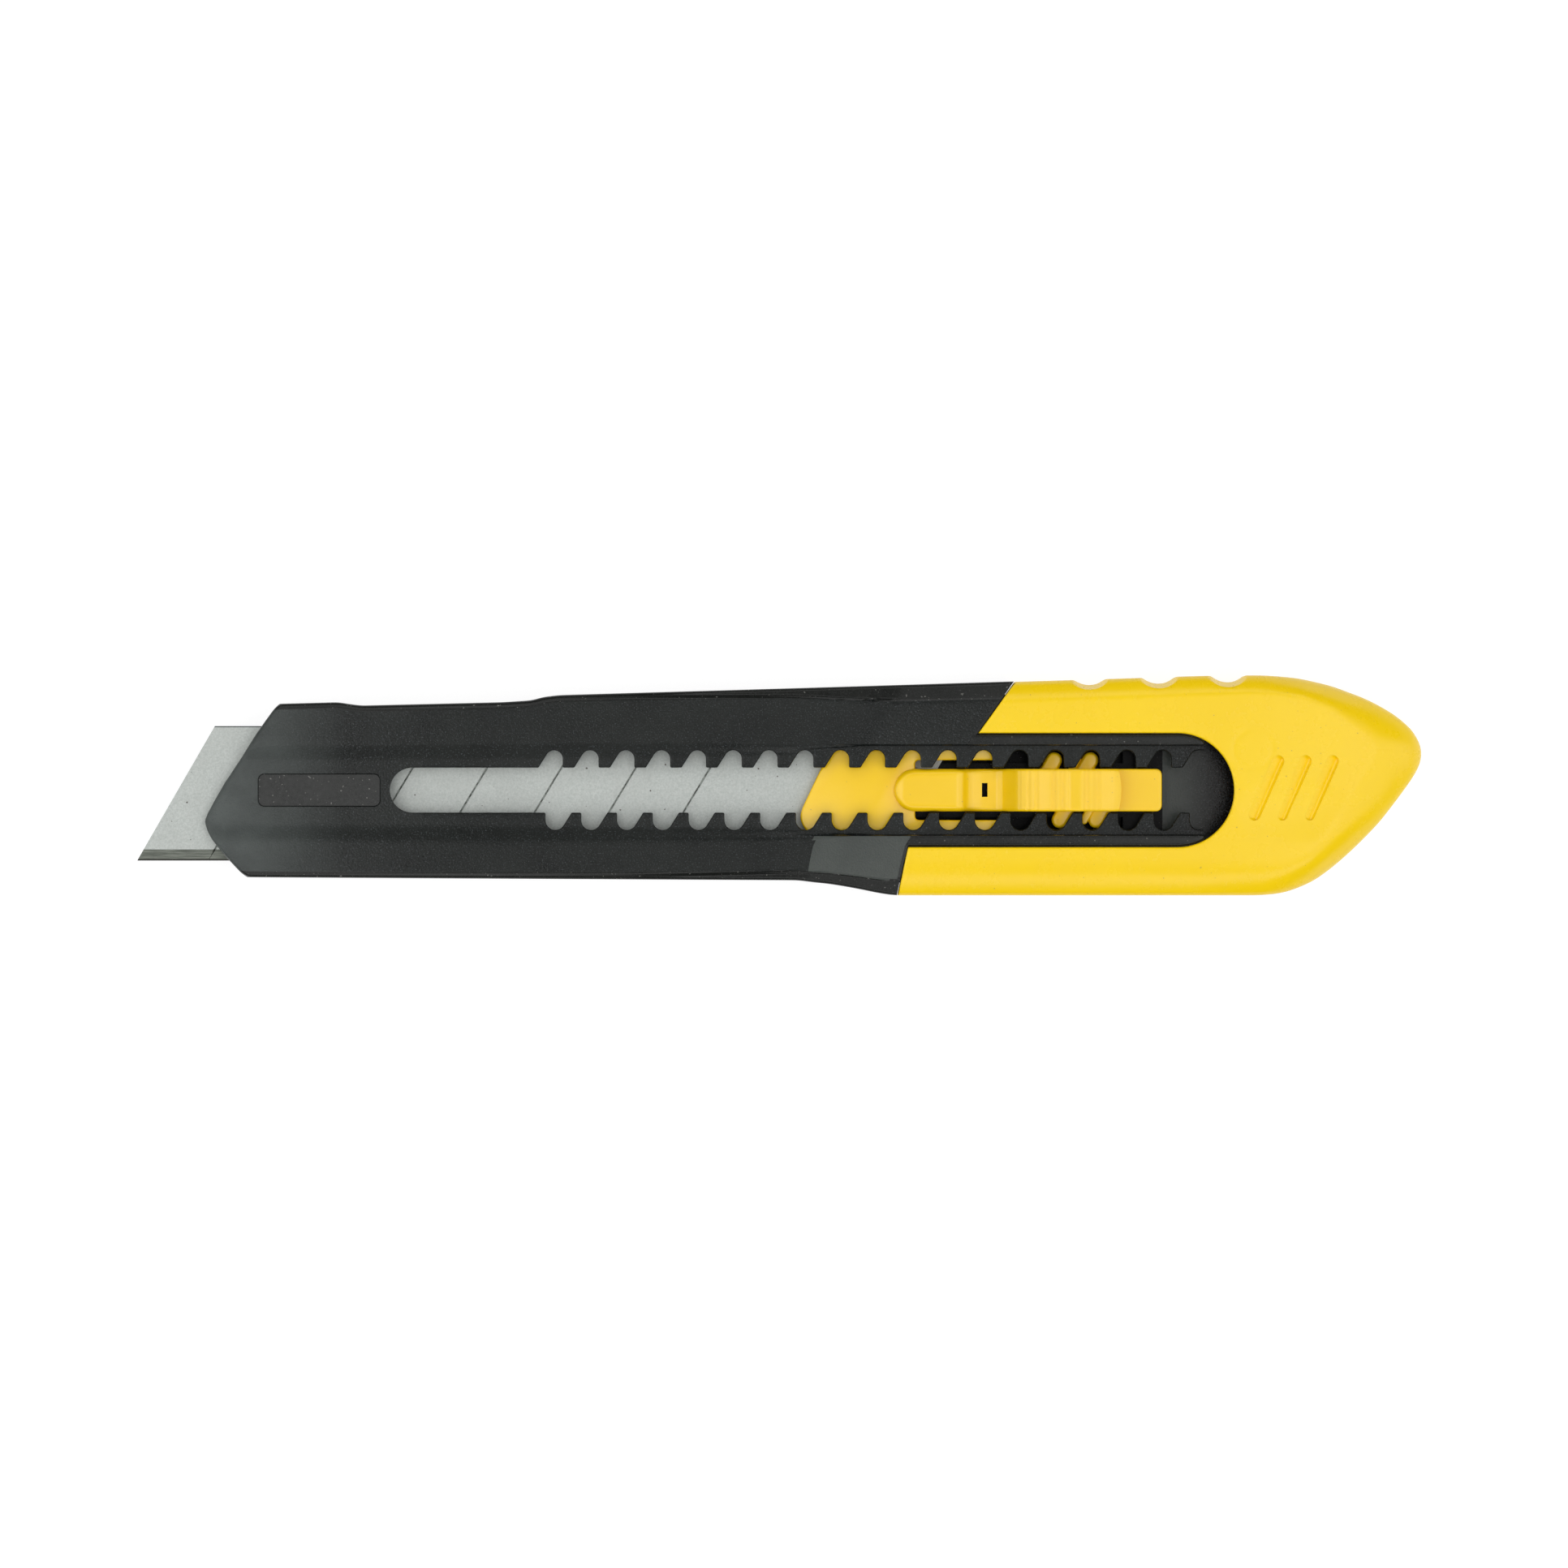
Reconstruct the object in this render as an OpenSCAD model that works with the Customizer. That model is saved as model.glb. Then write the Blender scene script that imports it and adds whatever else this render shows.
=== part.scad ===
// Snap-off knife with an 18 mm blade, lying on its back.
// X runs along the knife, with the blade tip at -X and the end cap at +X.
// Y runs across it, and Z is up, out of the face with the thumb slide.
// The origin is under the middle of the bounding box, on the surface it lies on.

/* [Blade] */
// Width of the blade across the knife
blade_width = 18; // [17:0.1:18]
// Length of the blade along one long edge
blade_length = 100; // [98:0.5:101]
// Thickness of the blade
blade_thickness = 0.5; // [0.4:0.05:0.6]
// Distance between two score lines
segment_pitch = 9.95; // [9:0.05:11]
// Distance from the tip to the first score line, along the edge
first_segment = 9.5; // [9:0.1:11]
// Width of the ground bevel along the cutting edge
blade_bevel = 1.5; // [1:0.1:2]
// Diameter of the hole that the carrier's peg holds
blade_hole = 5.5; // [5:0.1:6]

/* [Housing] */
// Distance between two lock notches
notch_pitch = 4.78; // [4.7:0.01:4.8]
// Lock notches along each side of the window, without the open one at the end
notch_count = 18; // [14:1:18]
// Width of the window that the thumb slide runs in
window_width = 6; // [5.9:0.05:6.2]
// Thickness of the wall with the window
window_wall = 1.3; // [1:0.1:1.5]
// Thickness of the back wall
back_wall = 1.9; // [1.7:0.1:2.5]
// Width of the open slot in the end cap
opening_width = 15.2; // [14.6:0.1:15.6]

/* [Slider] */
// Width of the thumb slide in the window
arm_width = 5.7; // [5:0.1:5.7]
// Height of the thumb grip above the surface the knife lies on
grip_top = 13; // [12:0.1:14]
// Notches that the blade can still go back
notches_back = 3; // [3:1:3]

/* [Hidden] */
slack = 0.15;
slot_y = -0.65;
tilt = tan(30);

// heights
band_z = 9.5;
wall_z = band_z - window_wall;
flank_z = 9.9;
rail_z = 11.1;
cap_z = 11.5;
land_z = 5.4;
rear_floor = 0.9;
rear_hollow = land_z - rear_floor - back_wall;
blade_z = land_z + slack;
plate_z = blade_z + blade_thickness + slack;
plate_top = 7.8;

// blade and its channel
blade_y = -1.08;
tip_x = -85.9;
tip_end_x = 85.9;
low_y = blade_y - blade_width / 2;
high_y = blade_y + blade_width / 2;
hole_x = 11.5;

// window, notches and recess
window_x = -52;
first_notch_x = -30;
wall_end_x = 56.7;
notch_reach = 5.3;
recess_half = 5.95;
opening_x = 53.1;

// slide
pad_x = 15.35;
hinge_x = 25;
hinge_z = 6.6;
arm_end_x = 51.1;

// cross-sections of the housing along X: [x, low y, high y, flank height, edge width]
housing_sections = [
    [-80, -12.25, 10.85, 8.3, 1.1], [-70, -12.3, 10.85, 9.4, 1.1], [-62, -12.35, 11, 9.9, 1.1],
    [-58.6, -12.35, 11.1, 9.9, 1.1], [-55.8, -12.35, 10.65, 9.9, 1.1],
    [-34.9, -12.45, 11.1, 9.9, 1.1], [-33, -12.45, 11.35, 9.9, 1.1],
    [-31.5, -12.45, 11.8, 9.9, 1.1], [-30, -12.5, 12, 9.9, 1.1],
    [3, -12.7, 13, 9.9, 1.1], [6.5, -13.15, 13.1, 10.25, 1.4],
    [10.9, -13.9, 13.25, 10.8, 2], [15.2, -14.7, 13.4, rail_z, 2.2], [34, -14.7, 13.95, rail_z, 2.2]
];

// cross-sections of the end cap: [x, low y, high y, low ridge, high ridge, top, height of the side]
cap_sections = [
    [14, -14.7, 13.35, -13.1, 11.2, cap_z, 10.2], [31.5, -14.7, 13.85, -13.1, 11.2, cap_z, 10.2],
    [56, -14.7, 14.55, -13.1, 12.2, cap_z, 10.2], [64.5, -14.7, 14.7, -12.6, 12.4, cap_z, 9.9],
    [67.8, -14.35, 14.45, -11.4, 12.1, cap_z, 9.3], [70.8, -13.2, 13.95, -8.6, 11.3, cap_z, 8.7],
    [73.8, -11.1, 13.3, -4.8, 9.9, cap_z, 8.3], [77, -8.35, 12.15, -0.5, 8, cap_z, 8.1],
    [80, -5.2, 10.8, 3.9, 5.4, 11.4, 8], [82.6, -1.9, 9.25, 3.8, 5.1, 10.3, 7.8],
    [84.7, 1.1, 7.5, 3.7, 4.9, 9, 7.5], [85.6, 2.7, 6.2, 3.9, 4.8, 8.1, 7.1],
    [tip_end_x, 3.7, 5.2, 4.1, 4.7, 7.5, 6.9]
];

// edge between housing and cap, from the lower side to the upper
shoulder = [[15.7, -16], [15.7, -14.7], [17, -8.4], [26.4, 6.9], [31.4, 13.85], [33, 16]];

// Solid through cross-sections [x, points], each counter-clockwise seen from +X.
module through_sections(sections) {
    n = len(sections[0][1]);
    last = len(sections) - 1;
    points = [for (s = sections) for (p = s[1]) [s[0], p[0], p[1]]];
    ends = [[for (i = [0:n - 1]) i], [for (i = [n - 1:-1:0]) last * n + i]];
    sides = [
        for (k = [0:last - 1])
            for (i = [0:n - 1])
                let (j = (i + 1) % n, a = k * n)
                    each [[a + i, a + n + i, a + n + j], [a + i, a + n + j, a + j]]
    ];
    polyhedron(points, concat(ends, sides));
}

// Cross-section with sloped edges at the top and the back.
function section(low, high, low_top, high_top, top, side, back) = [
    [low + back, 0], [high - back, 0], [high, back], [high, side],
    [high_top, top], [low_top, top], [low, side], [low, back]
];

// Straight-sided slot with one round end, to +X.
module round_slot(x0, x1, width, z0, z1) {
    r = width / 2;
    translate([x0, slot_y - r, z0])
        cube([x1 - r - x0, width, z1 - z0]);
    translate([x1 - r, slot_y, z0])
        cylinder(r = r, h = z1 - z0, $fn = 64);
}

// One lock notch on the +Y side: steep to the rear, slanted to the front.
module notch(z0, z1) {
    translate([0, 0, z0])
        linear_extrude(z1 - z0)
        polygon([
            [-2.2, 2.5], [-1.05, 4.35], [-0.75, 4.8], [-0.3, 5.15], [0.2, notch_reach],
            [0.65, 5.1], [1.0, 4.7], [1.1, 4.2], [1.1, 2.5]
        ]);
}

module window() {
    r = window_width / 2;
    z0 = wall_z - 1;
    z1 = band_z + 1;
    translate([window_x + r, slot_y, z0])
        cylinder(r = r, h = z1 - z0, $fn = 48);
    translate([window_x + r, slot_y - r, z0])
        cube([wall_end_x - window_x, window_width, z1 - z0]);
    for (i = [0:notch_count]) {
        x = first_notch_x + i * notch_pitch;
        translate([x, slot_y, 0])
            notch(z0, z1);
        translate([x, slot_y, 0])
            rotate([0, 0, 180])
            notch(z0, z1);
    }
}

module housing_front() {
    intersection() {
        through_sections([
            for (s = housing_sections)
                [s[0], section(s[1], s[2], s[1] + s[4], s[2] - s[4], s[3], s[3] - 0.7 * s[4], 1)]
        ]);
        // slanted nose and shoulder
        translate([0, 0, -1])
            linear_extrude(20)
            polygon(concat(
                [[-66, 20], [-66.5, 11], [-67.6, 10.2], [-71.8, 3.8], [-76.2, -3.2],
                [-76.8, -4.6], [-75.9, -7.1], [-71.9, -11.8], [-70.9, -12.4], [-70, -20]],
                shoulder
            ));
    }
}

// The part of the housing that the cap slides over.
module housing_rear() {
    difference() {
        translate([14, -13, 1.5])
            cube([47.5, 25.1, 8.4]);
        translate([wall_end_x, slot_y - 8, wall_z])
            cube([10, 16, 4]);
    }
    intersection() {
        translate([14, slot_y - 7.45, wall_z])
            cube([wall_end_x - 14, 14.9, rail_z - wall_z]);
        round_slot(10, opening_x + 7.45, 14.9, 0, 20);
    }
}

module channel() {
    y0 = low_y - 0.2;
    width = blade_width + 0.4;
    // low mouth for the blade alone, then full height for its carrier
    translate([-90, y0, land_z])
        cube([30, width, blade_thickness + 0.45]);
    translate([-65, y0, land_z])
        cube([140, width, wall_z - land_z]);
    // troughs on both sides of the central land, which stops near the rear
    translate([-64, slot_y + 3.6, back_wall])
        cube([110, 3.6, 5]);
    translate([-64, slot_y - 7.4, back_wall])
        cube([110, 3.8, 5]);
    // hollow under the floor behind the notched wall, open at the rear
    translate([48, slot_y + 3.6, back_wall])
        cube([20, 3.6, rear_hollow]);
    translate([48, slot_y - 7.4, back_wall])
        cube([20, 3.8, rear_hollow]);
    translate([52.4, slot_y - 7.4, back_wall])
        cube([20, 14.6, rear_hollow]);
}

module housing() color("#26292a") {
    difference() {
        union() {
            housing_front();
            housing_rear();
        }
        channel();
        window();
        // band along the window, sunk between the flanks
        translate([-62, slot_y - recess_half, band_z])
            cube([wall_end_x + 70, 2 * recess_half, 5]);
        // blank plaque on the nose
        translate([0, 0, 9.2])
            linear_extrude(2)
            offset(r = 0.8, $fn = 32)
            translate([-68.8, -2])
            square([14.7, 2.7]);
    }
}

module cap_body() {
    difference() {
        through_sections([
            for (s = cap_sections)
                [s[0], section(s[1], s[2], s[3], s[4], s[5], s[6], min(1.2, (s[2] - s[1]) / 4))]
        ]);
        // slanted front edge, just behind the housing's shoulder
        translate([0.15, 0, -1])
            linear_extrude(20)
            polygon(concat([[0, 20], [0, -20]], shoulder));
        // finger scallops in the upper edge
        for (i = [0:2])
            translate([41.4 + 9.25 * i, 16.7 + 0.18 * i, -1])
                cylinder(r = 3.3, h = 20, $fn = 64);
    }
}

module end_cap() color("#f4cf12") {
    difference() {
        cap_body();
        // hollow that slides over the housing
        translate([10, -13.1, 1.4])
            cube([51.8, 25.3, 8.65]);
        // room behind it for the tail of the thumb slide
        translate([60, -9, 1.4])
            cube([11, 17, 8.65]);
        round_slot(0, opening_x + opening_width / 2, opening_width, 9, 20);
        // three slanted thumb marks
        for (i = [0:2])
            translate([65.6 + 3.65 * i, -0.35, cap_z])
                rotate([0, 0, -24.2])
                cube([0.9, 8.6, 0.8], center = true);
    }
}

// Slanted plan of the blade, tip at the lower left.
module blade_plan() {
    rise = blade_width * tilt;
    polygon([
        [tip_x, low_y], [tip_x + blade_length, low_y],
        [tip_x + blade_length + rise, high_y], [tip_x + rise, high_y]
    ]);
}

module blade() color("#aab0ac") {
    lip = 0.3;
    translate([0, 0, blade_z])
        difference() {
            intersection() {
                linear_extrude(blade_thickness)
                    blade_plan();
                // cross-section with the ground bevel and the honed edge
                translate([-100, 0, 0])
                    rotate([90, 0, 90])
                    linear_extrude(200)
                    polygon([
                        [high_y, 0], [high_y, blade_thickness],
                        [low_y + blade_bevel, blade_thickness],
                        [low_y + lip, blade_thickness * 0.7],
                        [low_y, blade_thickness / 2],
                        [low_y + lip, blade_thickness * 0.3],
                        [low_y + blade_bevel, 0]
                    ]);
            }
            // score lines
            for (i = [1:7])
                translate([tip_x + first_segment + (i - 1) * segment_pitch, low_y, blade_thickness])
                    rotate([0, 0, -31])
                    rotate([0, 45, 0])
                    translate([-0.1, -2, -0.1])
                    cube([0.2, 26, 0.2]);
            translate([hole_x, blade_y, -1])
                cylinder(d = blade_hole, h = 3, $fn = 48);
        }
}

module carrier_plan() {
    polygon([
        [9.9, 7.7], [8.9, 6.9], [2.7, -4.1], [2.6, -5.3], [3.1, -6.6], [4.3, -8.4],
        [6, -9.9], [29.4, -9.9], [29.4, slot_y - 4], [18.2, slot_y - 4],
        [18.2, slot_y + 4], [29.4, slot_y + 4], [29.4, 7.7]
    ]);
}

module blade_carrier() color("#f7c815") {
    r = arm_width / 2;
    translate([0, 0, plate_z])
        linear_extrude(plate_top - plate_z)
        carrier_plan();
    // peg in the blade's hole
    translate([hole_x, blade_y, blade_z])
        cylinder(d = blade_hole - 0.2, h = 1.2, $fn = 48);
    // pad in the window, up to the web where the thumb lock bends
    intersection() {
        union() {
            translate([pad_x + r, slot_y, plate_z])
                cylinder(r = r, h = 8, $fn = 48);
            translate([pad_x + r, slot_y - r, plate_z])
                cube([20, arm_width, 8]);
        }
        translate([0, 20, 0])
            rotate([90, 0, 0])
            linear_extrude(40)
            polygon([
                [pad_x - 1, plate_z], [20, plate_z], [22, hinge_z], [hinge_x, hinge_z],
                [hinge_x, 8.6], [24, 9.2], [pad_x + 1.2, 9.2], [pad_x + 0.4, 8.9],
                [pad_x, 8.3], [pad_x - 1, 8.3]
            ]);
    }
}

// One slanted ratchet tooth, pointing to +Y from under the arm.
module tooth(x, reach, width) {
    translate([x, slot_y, 6.9])
        linear_extrude(1.2)
        union() {
            polygon([
                [-width / 2, reach - width / 2], [width / 2, reach - width / 2],
                [width / 2 - 1.6, 1.2], [-width / 2 - 1.6, 1.2]
            ]);
            translate([0, reach - width / 2])
                circle(d = width, $fn = 32);
        }
}

module thumb_lock() color("#f7c815") {
    difference() {
        translate([0, slot_y + arm_width / 2, 0])
            rotate([90, 0, 0])
            linear_extrude(arm_width)
            polygon([
                [hinge_x, hinge_z], [30.5, hinge_z], [31.5, 7], [50.9, 7.4],
                [arm_end_x, 7.6], [arm_end_x, 9.7], [50.9, 9.9], [45.9, 9.9],
                [45.5, 10.2], [45.3, grip_top - 0.5], [44.7, grip_top - 0.2],
                [41, grip_top], [38, grip_top], [34, grip_top - 0.6],
                [32.4, grip_top - 1.3], [31.4, grip_top - 2.6], [30.4, 8.6],
                [29.4, 7.9], [26.2, 7.9], [hinge_x, 8.6]
            ]);
        // grip grooves
        for (x = [33.6, 37.6, 42.1])
            translate([x, 0, grip_top + (x < 35 ? -0.3 : 0.3)])
                rotate([90, 0, 0])
                cylinder(r = 0.8, h = 20, center = true, $fn = 32);
        // slot in the thin web
        translate([27.1, slot_y - 0.9, 0])
            cube([0.75, 1.85, 20]);
    }
    for (x = [36.9, 41.8])
        tooth(x, 5.15, 1.7);
    tooth(40.1, 4.6, 0.8);
    translate([0, 2 * slot_y, 0])
        mirror([0, 1, 0]) {
            for (x = [37.7, 42.6])
                translate([2 * x, 0, 0])
                    mirror([1, 0, 0])
                    tooth(x, 5.1, 1.7);
            translate([2 * 41.1, 0, 0])
                mirror([1, 0, 0])
                tooth(41.1, 4.6, 0.8);
        }
}

housing();
end_cap();
blade();
blade_carrier();
thumb_lock();
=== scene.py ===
"""Looks of the snap-off knife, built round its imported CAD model.

Lengths are millimetres in the CAD frame until MM turns them into metres:
X along the knife with the blade tip at -X, Y across it, Z up out of its face.
"""

import math

import bpy
import numpy as np
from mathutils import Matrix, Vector


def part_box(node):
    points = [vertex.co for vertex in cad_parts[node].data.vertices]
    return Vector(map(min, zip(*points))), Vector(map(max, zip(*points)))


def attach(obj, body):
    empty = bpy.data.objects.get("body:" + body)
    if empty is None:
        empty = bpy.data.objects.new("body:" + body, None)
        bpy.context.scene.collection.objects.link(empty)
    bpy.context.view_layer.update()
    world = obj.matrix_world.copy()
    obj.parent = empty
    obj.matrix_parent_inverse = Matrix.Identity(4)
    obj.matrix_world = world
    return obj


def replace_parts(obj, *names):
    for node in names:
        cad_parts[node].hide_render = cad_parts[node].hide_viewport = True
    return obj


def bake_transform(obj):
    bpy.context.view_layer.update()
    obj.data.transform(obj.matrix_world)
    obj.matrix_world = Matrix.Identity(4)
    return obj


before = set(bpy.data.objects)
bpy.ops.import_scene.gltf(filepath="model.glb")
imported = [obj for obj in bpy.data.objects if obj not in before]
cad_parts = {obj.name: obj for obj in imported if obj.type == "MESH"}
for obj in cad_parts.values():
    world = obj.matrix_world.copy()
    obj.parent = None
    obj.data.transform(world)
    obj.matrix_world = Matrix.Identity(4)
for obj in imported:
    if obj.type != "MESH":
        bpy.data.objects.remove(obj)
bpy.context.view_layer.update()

MM = 0.001

# heights
BACK_WALL = 1.9
LAND_Z = 5.4
REAR_FLOOR_Z = 5.35
PLATE_Z = 6.2
PLATE_TOP = 7.8
WALL_Z = 8.2
BAND_Z = 9.5
FLANK_Z = 9.9
RAIL_Z = 11.1
CAP_Z = 11.5

# window
SLOT_Y = -0.65
WINDOW_X = -52.0
WINDOW_HALF = 3.0
WALL_END_X = 56.7
FIRST_NOTCH_X = -30.0
NOTCH_PITCH = 4.78
NOTCHES = 18
RECESS_HALF = 5.95
RAIL_HALF = 7.45
OPENING_X = 53.1
OPENING_HALF = 7.6

# slide
ARM_HALF = 2.85
PAD_X = 15.35
WEB_Z = 6.6
ARM_END_X = 51.1

# blade
BLADE_LOW_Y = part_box("blade")[0].y / MM
BLADE_TIP_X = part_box("blade")[0].x / MM
BLADE_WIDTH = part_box("blade")[1].y / MM - BLADE_LOW_Y
SEGMENT = 9.95
SCORE_SHIFT = 0.45
SCORE_LEAN = math.radians(31)
BEVEL = 1.5
HONED = 0.22
BACK_LINE = 0.14

# housing and cap
TAIL_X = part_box("end_cap")[1].x / MM - 0.02
NOSE_X = -76.8
NOSE_SLANT = 0.84
BACK_RADIUS = 0.9
GAP = 0.15

# edge between housing and cap, from the lower side to the upper
SHOULDER = [(15.7, -16), (15.7, -14.7), (17, -8.4), (26.4, 6.9), (31.4, 13.85), (33, 16)]
SHOULDER_X = SHOULDER[0][0]

# plan of the nose from its lower corner to its upper one
NOSE = [
    (-70.2, -12.7), (-70.9, -12.4), (-71.9, -11.7), (-74.1, -9.4), (-75.9, -7.15), (-76.5, -6),
    (-76.85, -4.75), (-76.4, -3.7), (-74.4, -0.1), (-71.85, 3.7), (-69.6, 7.3), (-67.5, 10.2),
    (-66.8, 10.9), (-66.2, 11.3),
]

# long edges of the housing
HOUSING_LOW = [
    (-80, -12.25), (2.7, -12.7), (4.3, -12.95), (6.5, -13.15), (8.7, -13.5), (10.9, -13.9),
    (13, -14.35), (15.2, -14.7), (40, -14.7),
]
HOUSING_HIGH = [
    (-80, 10.85), (-66.5, 10.9), (-58.8, 11.1), (-57.4, 10.85), (-55.8, 10.65), (-36.9, 11.1),
    (-33, 11.35), (-31.5, 11.8), (-29.3, 12.05), (3, 13), (30.4, 13.85), (36, 13.95),
]

# outline of the cap, along its upper edge to the tail and back along the lower edge
CAP_OUTLINE = [
    (12, 13.3), (32.5, 13.85), (39, 14.05), (47, 14.3), (56, 14.6), (64.5, 14.7), (67.3, 14.5),
    (69.4, 14.3), (71.6, 13.8), (73.8, 13.3), (75.9, 12.5), (78.1, 11.7), (80.3, 10.6),
    (82.4, 9.35), (84.6, 7.5), (85.7, 5.7), (86.05, 4.3), (85.7, 2.6), (84.6, 0.8), (82.4, -2.2),
    (80.3, -4.9), (78.1, -7.2), (75.9, -9.3), (73.8, -11.1), (71.6, -12.7), (69.4, -13.7),
    (67.3, -14.4), (64.5, -14.7), (12, -14.7),
]

# ridge between the cap's face and its sloped sides, in the same order
CAP_RIDGE = [
    (12, 10.8), (31.5, 11.15), (50, 11.8), (62, 12.3), (66, 12.2), (70, 11.65), (71.6, 11),
    (74, 10), (75.9, 8.6), (78, 7.1), (79.2, 6), (79.9, 5), (79.6, 4.1), (79.2, 3.2),
    (74.8, -3.5), (70.5, -8.7), (66.5, -9.8), (60, -9.6), (50, -9.2), (12, -9.2),
]

# height of the cap's side along X
CAP_SIDE = [
    (12, 9.9), (56, 9.9), (64.5, 9.6), (67.8, 9.1), (70.8, 8.6), (73.8, 8.2), (77, 8),
    (80, 7.9), (82.6, 7.7), (84.7, 7.4), (85.9, 6.9),
]

# finger scallops in the cap's upper edge, by their centres
SCALLOPS = [(41.4 + 9.25 * i, 16.7 + 0.18 * i) for i in range(3)]
SCALLOP_R = 3.3
SCALLOP_Z = 8.7

# slanted thumb marks on the cap's face, by their upper ends, the hollow of the thumb rest
# that they lie in, and the ring of the gate
MARKS = [(67.1 + 3.65 * i, 3.85) for i in range(3)]
MARK_LENGTH = 9.4
MARK_TILT = math.radians(23.9)
REST = (69, -3.2)
REST_HALF = (8.2, 4.6)
GATE = (63.2, 4.83)
GATE_R = 2.6


# ---- shapes -------------------------------------------------------------------------------

def smoothstep(t):
    """Soft rise from 0 to 1 as t goes from 0 to 1."""
    t = np.clip(t, 0, 1)
    return t * t * (3 - 2 * t)


def smoothed(points, radius, step=0.1):
    """The polyline through the points, sampled every step, with its corners rounded."""
    p = np.array(points, float)
    length = np.concatenate([[0], np.cumsum(np.hypot(*np.diff(p, axis=0).T))])
    at = np.linspace(0, length[-1], int(length[-1] / step) + 1)
    dense = np.column_stack([np.interp(at, length, p[:, i]) for i in (0, 1)])
    reach = int(3 * radius / step)
    weights = np.exp(-0.5 * (np.arange(-reach, reach + 1) * step / radius) ** 2)
    weights /= weights.sum()
    padded = np.vstack([
        2 * dense[0] - dense[reach:0:-1], dense, 2 * dense[-1] - dense[-2:-reach - 2:-1],
    ])
    return np.column_stack([np.convolve(padded[:, i], weights, "valid") for i in (0, 1)])


def at_x(line, x):
    """Y of a polyline at X."""
    order = np.argsort(line[:, 0], kind="stable")
    return np.interp(x, line[order, 0], line[order, 1])


def at_y(line, y):
    """X of a polyline at Y."""
    order = np.argsort(line[:, 1], kind="stable")
    return np.interp(y, line[order, 1], line[order, 0])


def distance_to(line, x, y):
    """Distance from each point to a polyline."""
    best = np.full(x.shape, 1e9)
    for (ax, ay), (bx, by) in zip(line[:-1], line[1:]):
        dx, dy = bx - ax, by - ay
        t = np.clip(((x - ax) * dx + (y - ay) * dy) / (dx * dx + dy * dy), 0, 1)
        best = np.minimum(best, np.hypot(x - ax - t * dx, y - ay - t * dy))
    return best


def rounding(distance, radius):
    """How far a surface has dropped at this distance from an edge of this radius."""
    inner = np.clip(radius - distance, 0, radius)
    return radius - np.sqrt(radius ** 2 - inner ** 2)


def make_object(name, points, faces):
    """Mesh object from points in mm."""
    mesh = bpy.data.meshes.new(name)
    mesh.from_pydata((np.asarray(points) * MM).tolist(), [], [list(map(int, f)) for f in faces])
    mesh.update()
    obj = bpy.data.objects.new(name, mesh)
    bpy.context.scene.collection.objects.link(obj)
    return obj


def slab(name, x, y, top, bottom):
    """Closed solid between two surfaces over one plan. The grids are stations by rows."""
    n, m = x.shape
    points = np.vstack([
        np.column_stack([x.ravel(), y.ravel(), top.ravel()]),
        np.column_stack([x.ravel(), y.ravel(), bottom.ravel()]),
    ])
    index = np.arange(n * m).reshape(n, m)
    under = index + n * m
    a, b, c, d = index[:-1, :-1], index[1:, :-1], index[1:, 1:], index[:-1, 1:]
    quads = [np.stack([a, b, c, d], -1).reshape(-1, 4)]
    a, b, c, d = under[:-1, :-1], under[:-1, 1:], under[1:, 1:], under[1:, :-1]
    quads.append(np.stack([a, b, c, d], -1).reshape(-1, 4))
    ring = np.concatenate([index[:-1, 0], index[-1, :-1], index[:0:-1, -1], index[0, :0:-1]])
    after = np.roll(ring, -1)
    quads.append(np.stack([after, ring, ring + n * m, after + n * m], -1))
    return make_object(name, points, np.vstack(quads))


def offset_outline(points, distance):
    """The counter-clockwise outline moved outwards."""
    p = np.asarray(points, float)
    before, after = p - np.roll(p, 1, 0), np.roll(p, -1, 0) - p
    before /= np.linalg.norm(before, axis=1)[:, None]
    after /= np.linalg.norm(after, axis=1)[:, None]
    normal = np.column_stack([before[:, 1] + after[:, 1], -before[:, 0] - after[:, 0]])
    normal /= np.linalg.norm(normal, axis=1)[:, None]
    cosine = normal[:, 0] * after[:, 1] - normal[:, 1] * after[:, 0]
    return p + normal * (distance / np.clip(cosine, 0.5, 1))[:, None]


def loft(name, rings):
    """Closed solid through rings of equally many points, from the lowest to the highest."""
    n, last = len(rings[0]), (len(rings) - 1) * len(rings[0])
    faces = [list(range(n))[::-1], [last + i for i in range(n)]]
    for k in range(0, last, n):
        for i in range(n):
            j = (i + 1) % n
            faces.append([k + i, k + j, k + n + j, k + n + i])
    return make_object(name, np.vstack(rings), faces)


def prism(name, outline, levels, sink=None):
    """Closed solid with the outline at each level (z, offset). sink(x) lowers it along X."""
    rings = []
    for z, offset in levels:
        p = offset_outline(outline, offset)
        drop = sink(p[:, 0]) if sink else np.zeros(len(p))
        rings.append(np.column_stack([p, z - drop]))
    return loft(name, rings)


def edge_levels(z, radius, grow, steps=4):
    """Levels of a quarter round that ends at z, growing outwards or shrinking inwards."""
    out = []
    for i in range(steps + 1):
        a = math.pi / 2 * i / steps
        sideways = radius * (1 - math.cos(a))
        out.append((z - radius * (1 - math.sin(a)), sideways if grow else -sideways))
    return out


def box(name, low, high):
    """Plain block between two corners."""
    (x0, y0, z0), (x1, y1, z1) = low, high
    return prism(name, [(x0, y0), (x1, y0), (x1, y1), (x0, y1)], [(z0, 0), (z1, 0)])


def arc(cx, cy, radius, start, end, steps):
    """Points on an arc, from one angle in degrees to another."""
    angles = np.radians(np.linspace(start, end, steps + 1))
    return [(cx + radius * math.cos(a), cy + radius * math.sin(a)) for a in angles]


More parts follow.
